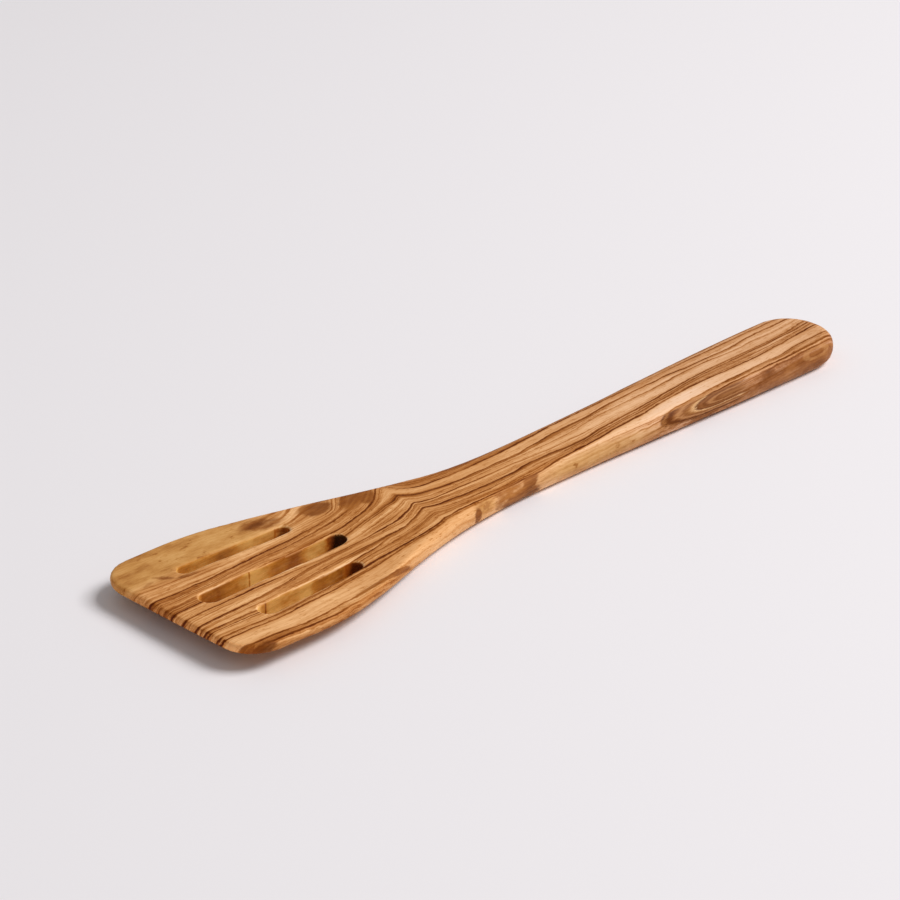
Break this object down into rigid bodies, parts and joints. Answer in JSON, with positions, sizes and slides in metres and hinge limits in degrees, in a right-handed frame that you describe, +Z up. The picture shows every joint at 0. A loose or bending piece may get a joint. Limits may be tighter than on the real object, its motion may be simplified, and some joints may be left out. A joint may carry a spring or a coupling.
{
  "type": "slotted spatula",
  "caption": "One-piece wooden kitchen turner with a wide, slightly upturned slotted blade, a waisted neck and a flat handle with a rounded end.",
  "frame": {"origin": "on the resting surface, under the middle of the tool's length and width", "axes": "+X along the tool from the blade's front edge to the end of the handle, +Y across it, +Z up out of the face that carries food"},
  "size_m": [0.3, 0.0715, 0.0102],
  "materials": {
    "olive_wood": "sanded and oiled olive wood, satin, with dark wavy growth lines along its length"
  },
  "bodies": {
    "root": {"spatula": "olive_wood"}
  },
  "joints": []
}
